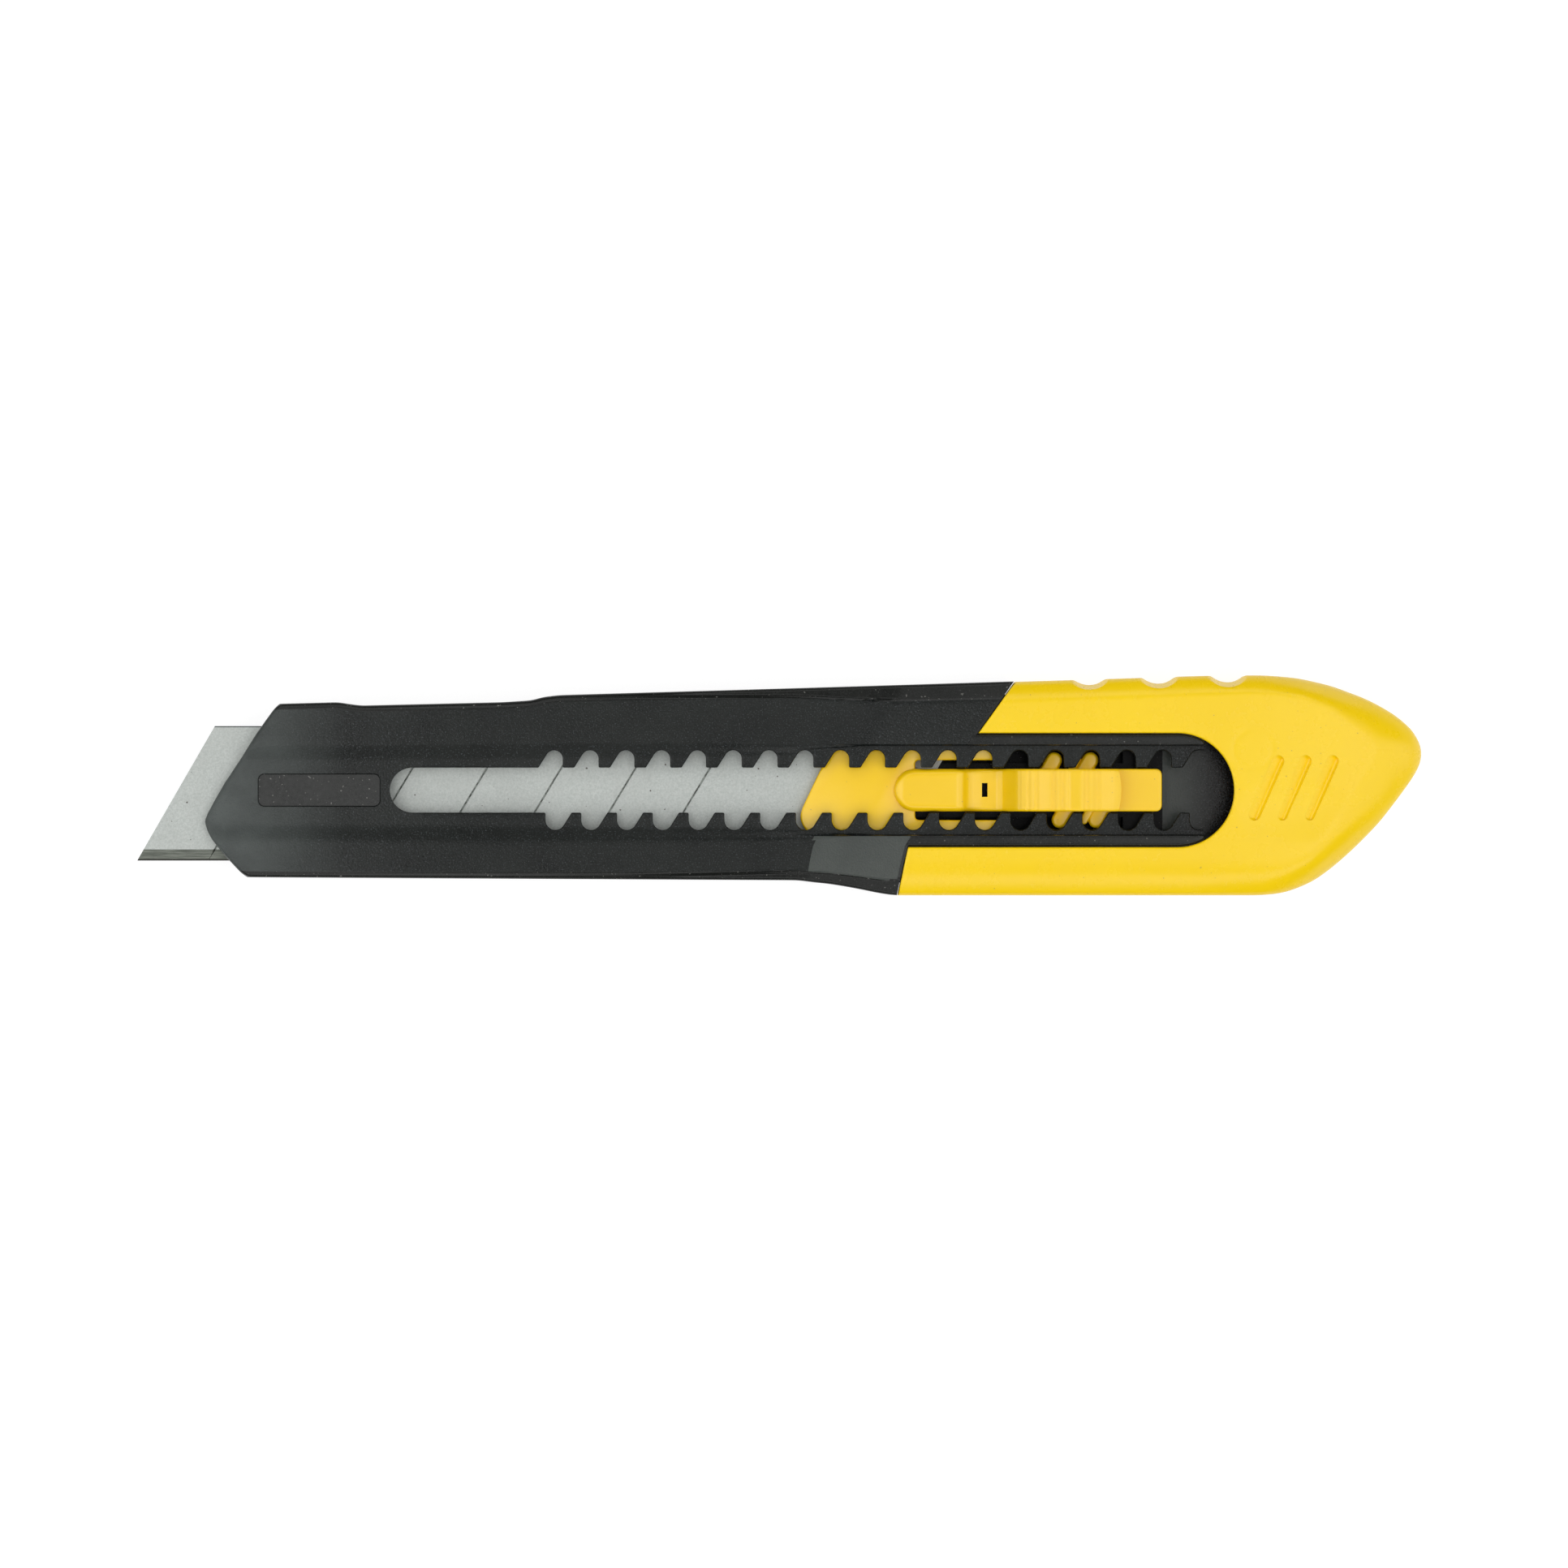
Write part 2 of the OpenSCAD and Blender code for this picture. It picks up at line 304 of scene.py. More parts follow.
def combine(obj, others, operation):
    """Adds or cuts the other solids, which are then removed."""
    for other in others:
        modifier = obj.modifiers.new(operation, "BOOLEAN")
        modifier.operation = operation
        modifier.solver = "MANIFOLD"
        modifier.object = other
    graph = bpy.context.evaluated_depsgraph_get()
    mesh = bpy.data.meshes.new_from_object(obj.evaluated_get(graph))
    obj.modifiers.clear()
    obj.data = mesh
    for other in others:
        bpy.data.objects.remove(other)
    return obj


def smooth(obj, angle=32):
    """Smooth shading with sharp edges above the angle in degrees."""
    obj.data.shade_smooth()
    obj.data.set_sharp_from_angle(angle=math.radians(angle))
    return obj


def paint(obj, *materials, choose=None):
    """Gives the materials. choose(x, y, z) of the face centres in mm returns each face's index."""
    obj.data.materials.clear()
    for material in materials:
        obj.data.materials.append(material)
    if choose:
        mesh = obj.data
        centres = np.zeros(len(mesh.polygons) * 3)
        mesh.polygons.foreach_get("center", centres)
        x, y, z = centres.reshape(-1, 3).T / MM
        mesh.polygons.foreach_set("material_index", choose(x, y, z).astype(np.int32))
    return obj


def edge_rows(low, high, near_edge, fill):
    """Rows from low to high, with the given distances at both ends and even ones between."""
    near = np.array(near_edge, float)
    width = (high - low)[:, None]
    scale = np.minimum(1, width / (3 * near[-1]))
    first = low[:, None] + near * scale
    last = high[:, None] - near[::-1] * scale
    share = np.linspace(0, 1, fill + 2)[1:-1]
    middle = first[:, -1:] + (last[:, :1] - first[:, -1:]) * share
    return np.hstack([first, middle, last])


# ---- housing ------------------------------------------------------------------------------

SHOULDER_LINE = smoothed(SHOULDER, 0.25)
NOSE_LINE = smoothed(NOSE, 0.35)
HOUSING_LOW_LINE = smoothed(HOUSING_LOW, 0.7)
HOUSING_HIGH_LINE = smoothed(HOUSING_HIGH, 0.5)


def nose_drop(x):
    """How far the face has come down towards the nose."""
    return 0.0014 * np.clip(-44 - x, 0, None) ** 2 + 0.0028 * np.clip(-64 - x, 0, None) ** 2


def rim_width(x):
    """Width of the stepped rim along the housing's long edges."""
    return np.interp(x, [-66, -20, 2, 16, 30], [0.95, 1.05, 1.4, 2.3, 2.4])


def edge_distance(x, y):
    """Distance inwards from the housing's long edges."""
    return np.minimum(y - at_x(HOUSING_LOW_LINE, x), at_x(HOUSING_HIGH_LINE, x) - y)


def nose_distance(x, y):
    """Distance inwards from the nose's end."""
    return (x - at_y(NOSE_LINE, y)) * NOSE_SLANT


def flank_height(x, y):
    """Height beside the band, which ramps up to meet the cap."""
    start = np.interp(y, [-14.7, -8.4, 6.9, 13.85], [3, 4.6, 12, 17])
    ramp = (x - start) / (at_y(SHOULDER_LINE, y) - start)
    blend = 0.04
    ramp = np.where(ramp > blend, ramp - blend / 2, np.clip(ramp, 0, None) ** 2 / (2 * blend))
    return FLANK_Z + (RAIL_Z - FLANK_Z) * np.clip(ramp, 0, 1)


def housing_top(x, y):
    """Height of the housing's face."""
    side = np.abs(y - SLOT_Y)
    # band along the window: a soft crease in front, a sharp wall near the cap
    width = np.interp(x, [-30, -2, 12], [2.8, 1.9, 0.1])
    crease = np.where(
        y > SLOT_Y, np.interp(x, [-62, -30, 3, 12], [4.9, 5.25, 5.4, RECESS_HALF]),
        np.interp(x, [-62, -30], [5.75, RECESS_HALF]),
    )
    edge = rounding(side - RECESS_HALF - 0.05, 0.25) * np.clip((x - 4) / 8, 0, 1)
    rise = smoothstep((side - crease + width / 2) / width)
    face = BAND_Z + (flank_height(x, y) - edge - BAND_Z) * rise
    # stepped rim along the outline
    rim = rim_width(x)
    out = edge_distance(x, y)
    soft = np.interp(x, [-60, -20, 8], [1.2, 1.0, 0.4])
    step = np.interp(x, [-60, -20, 8], [0.08, 0.2, 0.42]) * smoothstep((rim - out) / soft)
    slope = 0.2 * np.clip(rim - 0.3 - out, 0, None)
    edges = rounding(out, 0.4) + rounding(nose_distance(x, y), 0.5)
    return face - step - slope - edges - nose_drop(x)


# rows across the housing: their distances from its edges, and from the window's middle
MIDDLE_HALF = 7.5
EDGE_STEPS = [
    0, 0.04, 0.1, 0.18, 0.28, 0.4, 0.55, 0.68, 0.78, 0.9, 1.02, 1.15, 1.3, 1.45, 1.6, 1.75,
    1.9, 2.02, 2.12, 2.22, 2.32, 2.45, 2.7, 3.1,
]
BAND_ROWS = [
    3.9, 4.2, 4.45, 4.7, 4.95, 5.2, 5.35, 5.5, 5.65, 5.8, 5.9, 6.0, 6.05, 6.12, 6.2, 6.3,
    6.5, 6.7, 7.0, 7.5,
]
FILL_ROWS = 6
OUTER_ROWS = len(EDGE_STEPS) + FILL_ROWS


def housing_rows(nominal):
    """Y of the housing's rows at each station: close together at the edges and the band."""
    inner_low = np.full(len(nominal), SLOT_Y - MIDDLE_HALF)
    inner_high = np.full(len(nominal), SLOT_Y + MIDDLE_HALF)
    low, high = at_x(HOUSING_LOW_LINE, nominal), at_x(HOUSING_HIGH_LINE, nominal + 12)
    lower = edge_rows(low, inner_low, EDGE_STEPS, FILL_ROWS)[:, :OUTER_ROWS]
    upper = edge_rows(inner_high, high, EDGE_STEPS, FILL_ROWS)[:, len(EDGE_STEPS):]
    middle = np.concatenate([-np.array(BAND_ROWS[::-1]), [-3, -1, 1, 3], BAND_ROWS]) + SLOT_Y
    return np.hstack([lower, np.tile(middle, (len(nominal), 1)), upper])


def follow_edges(x, y):
    """Stretches the outer rows so that the outermost ones lie on the housing's long edges."""
    low, high = at_x(HOUSING_LOW_LINE, x), at_x(HOUSING_HIGH_LINE, x)
    own_low, own_high = y[:, :1].copy(), y[:, -1:].copy()
    share = (SLOT_Y - MIDDLE_HALF - y[:, :OUTER_ROWS]) / (SLOT_Y - MIDDLE_HALF - own_low)
    y[:, :OUTER_ROWS] += (low[:, :OUTER_ROWS] - own_low) * share
    share = (y[:, -OUTER_ROWS:] - SLOT_Y - MIDDLE_HALF) / (own_high - SLOT_Y - MIDDLE_HALF)
    y[:, -OUTER_ROWS:] += (high[:, -OUTER_ROWS:] - own_high) * share
    return y


def housing_front():
    """The housing from the nose to the slanted shoulder where the cap begins."""
    near = np.array([0, 0.05, 0.12, 0.2, 0.3, 0.42, 0.6, 0.85, 1.2, 1.6])
    nominal = np.concatenate([NOSE_X + near, np.arange(NOSE_X + 2.1, 15.4, 0.5), [SHOULDER_X]])
    y = housing_rows(nominal)
    # the stations bend to the nose at one end and to the shoulder at the other
    nose_share = 1 - smoothstep((nominal[:, None] - NOSE_X) / 32)
    shoulder_share = smoothstep((nominal[:, None] + 32) / (SHOULDER_X + 32))
    x = nominal[:, None] + (at_y(NOSE_LINE, y) - NOSE_X) * nose_share
    x = x + (at_y(SHOULDER_LINE, y) - SHOULDER_X) * shoulder_share
    y = follow_edges(x, y)
    out = np.minimum(edge_distance(x, y), nose_distance(x, y))
    bottom = rounding(np.clip(out, 0, None), BACK_RADIUS)
    return slab("housing_shell", x, y, housing_top(x, y), bottom)


def rail_half(x):
    """Half width over both rails, round at the rear."""
    return np.sqrt(np.clip(RAIL_HALF ** 2 - np.clip(x - OPENING_X, 0, None) ** 2, 0, None))


def rails():
    """The two smooth rails that stay in view inside the cap's opening, and the band between."""
    end = np.array([0, 0.06, 0.15, 0.3, 0.6, 1, 1.5, 2.1, 2.8, 3.6])
    nominal = np.concatenate([np.arange(20, 52.6, 1.5), (WALL_END_X - end)[::-1]])
    half = rail_half(nominal)
    share = np.array([0, 0.04, 0.09, 0.16, 0.3, 0.5, 0.7, 0.84, 0.91, 0.96, 1])
    outer = 6 + (half[:, None] - 6) * share
    inner = np.tile([-5.9, -5.4, -4.6, -3.6, -1.8, 0, 1.8, 3.6, 4.6, 5.4, 5.9], (len(nominal), 1))
    y = np.hstack([-outer[:, ::-1], inner, outer]) + SLOT_Y
    start = at_y(SHOULDER_LINE, y) - 0.4
    x = start + (nominal[:, None] - 20) / (WALL_END_X - 20) * (WALL_END_X - start)
    side, half_here = np.abs(y - SLOT_Y), rail_half(x)
    # the outer rows follow the round end of the rails
    y = SLOT_Y + np.sign(y - SLOT_Y) * np.where(
        side > 5.95, 6 + (side - 6) * (half_here - 6) / np.maximum(half[:, None] - 6, 1e-6), side
    )
    side = np.abs(y - SLOT_Y)
    drop = rounding(side - 6, 0.22) + rounding(half_here - side, 0.3)
    drop = drop + rounding(WALL_END_X - x, 0.25)
    top = np.where(side > 5.95, RAIL_Z - drop, BAND_Z - 0.02)
    return slab("rails", x, y, top, np.full(x.shape, WALL_Z + 0.2))


def core():
    """The part that the cap slides over, open from above behind the notched wall."""
    low, high, overlap = -13, 12.1, 0.3
    front = [(at_y(SHOULDER_LINE, y) - overlap, y) for y in (high, 6.9, -8.4, low)]
    body = prism("core", front + [(61.5, low), (61.5, high)], [(1.5, 0), (FLANK_Z - 0.6, 0)])
    cuts = [
        box("behind_wall", (WALL_END_X, SLOT_Y - 8, WALL_Z), (66, SLOT_Y + 8, 12)),
        box("band", (10, SLOT_Y - 6.4, BAND_Z - 0.3), (70, SLOT_Y + 6.4, 12)),
    ]
    return combine(body, cuts, "DIFFERENCE")


def notch_side(radius, steep_x):
    """One notch relative to its centre: a slanted flank, a round tip and a steep flank."""
    lean = 57.5
    reach = 5.32
    centre_x, centre_y = steep_x - radius, reach - radius
    tip = arc(centre_x, centre_y, radius, 90 + lean, 0, 14)
    run = (tip[0][1] - WINDOW_HALF) / math.tan(math.radians(lean))
    foot_x = tip[0][0] - run
    foot = arc(foot_x - 0.1, WINDOW_HALF + 0.2, 0.2, -90, lean - 90, 3)
    heel = arc(steep_x + 0.2, WINDOW_HALF + 0.2, 0.2, 180, 270, 3)
    return foot + tip + heel


def window_outline():
    """Counter-clockwise outline of the window with its notches, open at the rear."""
    high_side, low_side = notch_side(1.15, 1.1), notch_side(1.3, 1.2)
    beyond = WALL_END_X + 1.5
    front = WINDOW_X + WINDOW_HALF
    lower, upper = [], []
    for i in range(NOTCHES):
        centre = FIRST_NOTCH_X + i * NOTCH_PITCH
        upper += [(centre + x, SLOT_Y + y) for x, y in high_side]
        lower += [(centre - x, SLOT_Y - y) for x, y in reversed(low_side)]
    centre = FIRST_NOTCH_X + NOTCHES * NOTCH_PITCH
    half = len(high_side) // 2
    upper += [(centre + x, SLOT_Y + y) for x, y in high_side[:half]]
    upper += [(beyond, SLOT_Y + high_side[half - 1][1])]
    lower += [(centre - x, SLOT_Y - y) for x, y in reversed(low_side[half:])]
    lower += [(beyond, SLOT_Y - low_side[half][1])]
    nose = arc(front, SLOT_Y, WINDOW_HALF, 90, 270, 24)
    return nose + lower + upper[::-1]


def plaque_outline():
    """Rounded rectangle of the blank plaque on the nose."""
    r, half, x0, x1 = 0.8, 1.35, -68.8, -54.1
    steps = np.linspace(x0, x1, 8)[1:-1]
    points = arc(x0, SLOT_Y + half, r, 90, 180, 6) + arc(x0, SLOT_Y - half, r, 180, 270, 6)
    points += [(x, SLOT_Y - half - r) for x in steps]
    points += arc(x1, SLOT_Y - half, r, -90, 0, 6) + arc(x1, SLOT_Y + half, r, 0, 90, 6)
    return points + [(x, SLOT_Y + half + r) for x in steps[::-1]]


def rear_floor(low, high):
    """Cutter that leaves a floor sloping down behind the thumb slide's tail."""
    front, back, depth = 51.3, 62, 0.75
    plan = [(front, high), (front, low), (back, low), (back, high)]
    floor = [(x, y, REAR_FLOOR_Z - (depth if x == back else 0)) for x, y in plan]
    return loft("rear_floor", [np.array(floor), np.array([(x, y, 7) for x, y in plan])])


def housing_cuts():
    """Everything that is hollow in the housing."""
    y0, y1 = BLADE_LOW_Y - 0.2, BLADE_LOW_Y + 18.2
    above = BAND_Z + 2
    round_top = edge_levels(BAND_Z, 0.22, True)
    side_low, side_high = (SLOT_Y - 7.4, SLOT_Y - 3.6), (SLOT_Y + 3.6, SLOT_Y + 7.2)
    rear_top = LAND_Z - 0.9
    cuts = [
        box("mouth", (-90, y0, LAND_Z), (-60, y1, LAND_Z + 0.95)),
        box("channel", (-65, y0, LAND_Z), (75, y1, WALL_Z)),
        rear_floor(y0, y1),
        box("rear_trough", (52.4, side_low[0], BACK_WALL), (72.4, side_high[1], rear_top)),
        prism("window", window_outline(), [(WALL_Z - 0.6, 0)] + round_top + [(above, 0.22)]),
        prism(
            "plaque", plaque_outline(),
            [(BAND_Z - 0.34, -0.06), (BAND_Z - 0.26, 0), (BAND_Z, 0.08), (above, 0.1)], nose_drop,
        ),
    ]
    for low, high in (side_low, side_high):
        cuts.append(box("trough", (-64, low, BACK_WALL), (46, high, 6.9)))
        cuts.append(box("trough", (48, low, BACK_WALL), (68, high, rear_top)))
    return cuts


def smooth_places(x, y, z):
    """1 on the housing's smooth faces (rails, rim and plaque), 0 on its grain."""
    side, out = np.abs(y - SLOT_Y), edge_distance(x, y)
    rail = (x > at_y(SHOULDER_LINE, y) - 0.3) & (side > RECESS_HALF - 0.1)
    rim = (out < rim_width(x) - 0.1) & (x < at_y(SHOULDER_LINE, y))
    plaque = (x < -53.2) & (x > -69.8) & (side < 2.4) & (z < BAND_Z - 0.15 - nose_drop(x))
    return (rail | rim | plaque) & (z > WALL_Z - nose_drop(x))


def housing_look(x, y, z):
    """Index of the look on each face: grain, smooth, the paler grain of the ramp, or inside."""
    middle = (y > BLADE_LOW_Y) & (y < SLOT_Y + 8.6)
    inside = middle & (z > BACK_WALL - 0.1) & (z < WALL_Z - 0.1 - nose_drop(x)) & (x > -74)
    rear = (x > ARM_END_X) & (z < REAR_FLOOR_Z) & (z > REAR_FLOOR_Z - 0.74)
    # Painted shade: the faces inside the channel take a darker, duller copy of the smooth black.
    look = np.where(inside, 3, smooth_places(x, y, z))
    return np.where(ramp_places(x, y, z) | rear, 2, look)


def ramp_places(x, y, z):
    """1 on the ramp that rises to the cap along the lower side."""
    start = np.interp(y, [-14.7, -8.4], [3, 4.6])
    out = y - at_x(HOUSING_LOW_LINE, x)
    front = (x > start) & (x < at_y(SHOULDER_LINE, y) - 0.3)
    return front & (y < SLOT_Y - RECESS_HALF - 0.2) & (out > rim_width(x) - 0.2) & (z > BAND_Z)


def housing(*looks):
    """The black body with everything cut out of it, in the order of looks of housing_look."""
    body = combine(housing_front(), [core(), rails()], "UNION")
    combine(body, housing_cuts(), "DIFFERENCE")
    paint(body, *looks, choose=housing_look)
    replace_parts(smooth(body, 30), "housing")
    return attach(body, "housing")


# ---- end cap ------------------------------------------------------------------------------

OUTLINE_LINE = smoothed(CAP_OUTLINE, 0.9)
TAIL = int(np.argmax(OUTLINE_LINE[:, 0]))
RIDGE_LINE = smoothed(CAP_RIDGE, 0.35)
RIDGE_CORNER = int(np.argmax(RIDGE_LINE[:, 0]))


def cap_high(x):
    """Y of the cap's upper edge, with its scallops."""
    high = at_x(OUTLINE_LINE[:TAIL + 1], x)
    for cx, cy in SCALLOPS:
        reach = SCALLOP_R ** 2 - (x - cx) ** 2
        bite = cy - np.sqrt(np.clip(reach, 0, None))
        high = np.where(reach > 0, -np.logaddexp(-high * 12, -bite * 12) / 12, high)
    return high


def cap_low(x):
    """Y of the cap's lower edge."""
    return at_x(OUTLINE_LINE[TAIL:], x)


def crown(x):
    """How far the cap's face has come down towards the tail."""
    return 0.0014 * np.clip(x - 60, 0, None) ** 2


def thumb_mark(x, y):
    """Cutter for one slanted mark: a steep side on the right and a gentle one on the left."""
    depth, floor = 0.5, CAP_Z - 0.08
    along = np.array([-math.sin(MARK_TILT), -math.cos(MARK_TILT)])
    across = np.array([math.cos(MARK_TILT), -math.sin(MARK_TILT)])
    rings = []
    for share in (1, 0.93, 0.8, 0.6, 0.4, 0.22, 0.1, 0, -1.5):
        part = max(share, 0)
        right = 0.58 - 0.3 * part ** 1.6
        left = -1.1 + 1.16 * part ** 0.75
        radius, centre = (right - left) / 2, (right + left) / 2
        first, last = 0.3 * part + radius, MARK_LENGTH - 0.3 * part - radius
        local = arc(centre, last, radius, 0, 180, 12) + arc(centre, first, radius, 180, 360, 12)
        ring = [np.array([x, y]) + u * across + v * along for u, v in local][::-1]
        ring = np.array(ring)
        rings.append(np.column_stack([ring, floor - depth * share - crown(ring[:, 0])]))
    return loft("mark", rings)


def cap_top(x, y):
    """Height of the cap's face and of its sloped sides."""
    face = CAP_Z - crown(x)
    out = distance_to(OUTLINE_LINE[::4], x, y)
    beyond = distance_to(RIDGE_LINE[::3], x, y)
    corner = RIDGE_LINE[RIDGE_CORNER, 0]
    inside = (y < at_x(RIDGE_LINE[:RIDGE_CORNER + 1], x)) & (y > at_x(RIDGE_LINE[RIDGE_CORNER:], x))
    t = np.where(inside & (x < corner), 0, beyond / (beyond + out))
    crisp = 0.38 * smoothstep((y + 7) / 9)
    fall = crisp * t + (1 - crisp) * t ** 2.2
    z = face - (face - np.interp(x, *np.transpose(CAP_SIDE))) * fall
    # thumb rest, and the faint ring of the gate
    rest = ((x - REST[0]) / REST_HALF[0]) ** 2 + ((y - REST[1]) / REST_HALF[1]) ** 2
    z = z - 0.2 * np.clip(1 - rest, 0, None) ** 1.3
    ring = np.hypot(x - GATE[0], y - GATE[1]) - GATE_R
    z = z - 0.035 * np.exp(-(ring / 0.16) ** 2)
    # edges, and the sloped walls of the scallops
    front = (x - at_y(SHOULDER_LINE, y) - GAP) * 0.86
    z = z - rounding(np.minimum(out, cap_high(x) - y + 0.02), 0.5) - rounding(front, 0.22)
    for cx, cy in SCALLOPS:
        wall = SCALLOP_Z + (np.hypot(x - cx, y - cy) - SCALLOP_R) * 3.6
        z = np.minimum(z, np.where(np.abs(x - cx) < 4, wall, z))
    return z


def cap_body():
    """The cap as a closed form, before its hollow, opening and marks are cut."""
    near = np.array([0, 0.05, 0.11, 0.18, 0.26, 0.4])
    tail = np.array([0, 0.02, 0.06, 0.12, 0.2, 0.32, 0.48, 0.68, 0.92, 1.2, 1.5, 1.85, 2.2])
    start = SHOULDER_X + GAP
    nominal = np.concatenate([
        start + near, np.arange(start + 0.8, 28, 0.45), np.arange(28.1, 83.4, 0.27),
        (TAIL_X - tail)[::-1],
    ])
    edge = [0, 0.04, 0.1, 0.18, 0.28, 0.4, 0.52, 0.66, 0.82, 1.0, 1.25, 1.5]
    y = edge_rows(cap_low(nominal), cap_high(nominal), edge, 84)
    row_share = (y - y[:, :1]) / (y[:, -1:] - y[:, :1])
    # the stations bend to the shoulder, and the rows follow the outline there
    bend = 1 - smoothstep((nominal[:, None] - start) / 42)
    for _ in range(3):
        x = nominal[:, None] + (at_y(SHOULDER_LINE, y) + GAP - start) * bend
        low, high = cap_low(x), cap_high(x)
        y = low + (high - low) * row_share
    out = np.minimum(distance_to(OUTLINE_LINE[::4], x, y), np.clip(cap_high(x) - y, 0, None))
    bottom = rounding(out, 1.1)
    return slab("cap_shell", x, y, cap_top(x, y), bottom)


def end_cap(material):
    """The yellow cap: hollow, open over the rails, with its three marks."""
    floor, roof = 1.4, 10.05
    body = cap_body()
    opening = [(8, SLOT_Y + OPENING_HALF), (8, SLOT_Y - OPENING_HALF)]
    opening += arc(OPENING_X, SLOT_Y, OPENING_HALF, -90, 90, 48)
    cuts = [
        box("hollow", (10, -13.1, floor), (61.8, 12.2, roof)),
        box("tail_room", (60, -9, floor), (71, 8, roof)),
        prism("opening", opening, [(9, 0)] + edge_levels(CAP_Z, 0.28, True) + [(14, 0.28)]),
    ]
    cuts += [thumb_mark(x, y) for x, y in MARKS]
    combine(body, cuts, "DIFFERENCE")
    paint(body, material)
    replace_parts(smooth(body, 21), "end_cap")
    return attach(body, "end_cap")


# ---- slide --------------------------------------------------------------------------------

# height of the thumb slide's top along X: pad, dip with the web, and grip
ARM_PROFILE = [
    (PAD_X, 8.75), (15.7, 9.05), (16.4, 9.2), (23.9, 9.2), (24.5, 9.0), (25.1, 8.3),
    (25.7, 7.97), (27, 7.9), (29.2, 7.9), (29.9, 8.3), (31.5, 10.9), (32.1, 11.6), (33.2, 12.1),
    (35.4, 12.55), (38, 12.85), (40, 12.95), (42, 12.9), (44.6, 12.7), (45.3, 12.55), (45.6, 12.4),
]
GRIP_END_X = 45.6
TAIL_TOP = 9.9

# grooves between the beads of the grip: centre, half width, depth
GRIP_GROOVES = [
    (32.1, 0.3, 0.08), (33.25, 0.42, 0.16), (34.35, 0.34, 0.07),
    (36.6, 0.5, 0.2), (37.75, 0.46, 0.16), (38.55, 0.3, 0.05),
    (40.95, 0.55, 0.22), (42.3, 0.65, 0.22),
]


def arm_profile(x):
    """Height of the thumb slide's top along X."""
    z = at_x(smoothed(ARM_PROFILE, 0.16, 0.05), x)
    for centre, half, depth in GRIP_GROOVES:
        t = np.clip(np.abs(x - centre) / half, 0, 1)
        z = z - depth * (1 + np.cos(math.pi * t)) / 2
    return np.where(x > GRIP_END_X + 0.02, TAIL_TOP, z)


def arm_half(x):
    """Half width of the thumb slide along X: round in front, small corners behind."""
    corner = 0.8
    front = np.clip(PAD_X + ARM_HALF - x, 0, ARM_HALF)
    back = np.clip(x - ARM_END_X + corner, 0, corner)
    round_front = np.sqrt(np.clip(ARM_HALF ** 2 - front ** 2, 0, None))
    return round_front - (corner - np.sqrt(np.clip(corner ** 2 - back ** 2, 0, None)))


def slide_stations():
    """Stations along the thumb slide, close together where it is round or grooved."""
    front = np.array([0.01, 0.05, 0.12, 0.22, 0.35, 0.5, 0.7, 0.95, 1.25, 1.6, 2, 2.5])
    back = np.array([0.01, 0.04, 0.1, 0.18, 0.28, 0.4, 0.55, 0.72])
    return np.concatenate([
        PAD_X + front, np.arange(18.2, 23.6, 0.6), np.arange(23.7, 31.4, 0.2),
        np.arange(31.4, 45.5, 0.07), [45.5, 45.56, 45.6, 45.64, 45.7, 45.8, 46],
        np.arange(46.4, ARM_END_X - 0.9, 0.4), (ARM_END_X - back)[::-1],
    ])


def thumb_slide(material):
    """Pad, web, grip and tail, moulded in one; the real part bends at the web, but this mesh is
    rigid.
    """
    nominal = slide_stations()
    half = arm_half(nominal)
    edge = [0, 0.03, 0.07, 0.12, 0.18, 0.26, 0.36, 0.48, 0.62, 0.78]
    y = edge_rows(-half, half, edge, 11)
    # the grip ends in a shallow arc
    near_end = np.exp(-((nominal[:, None] - GRIP_END_X) / 0.9) ** 2)
    x = nominal[:, None] - 0.4 * (y / ARM_HALF) ** 2 * near_end
    profile = np.repeat(arm_profile(nominal)[:, None], y.shape[1], 1)
    radius = np.interp(nominal, [PAD_X, 24, 30, 45.6, 45.8], [1.0, 0.8, 0.4, 0.4, 0.3])[:, None]
    out = half[:, None] - np.abs(y)
    ends = np.minimum(nominal - PAD_X, ARM_END_X - nominal)[:, None]
    top = profile - rounding(out, radius) - rounding(ends, 0.25)
    bottom = np.interp(nominal, [22, 24, 30.5, 31.5, 50.9], [6.3, WEB_Z, WEB_Z, 7, 7.4])[:, None]
    body = slab("thumb_slide", x, y + SLOT_Y, top, np.repeat(bottom, y.shape[1], 1))
    slot = box("web_slot", (27.1, SLOT_Y - 0.9, 5), (27.85, SLOT_Y + 0.95, 12))
    combine(body, [slot], "DIFFERENCE")
    paint(body, material)
    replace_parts(smooth(body, 45), "thumb_lock")
    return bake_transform(body)


# front edge of the carrier plate, from its upper side to its lower one
CARRIER_FRONT = [
    (20, 7.7), (9.4, 7.7), (8.2, 7), (5.4, 1.85), (3.05, -3.1), (2.8, -3.9), (2.85, -4.7),
    (3.2, -5.5), (4, -6.5), (5.4, -8), (7.3, -9.9), (20, -9.9),
]


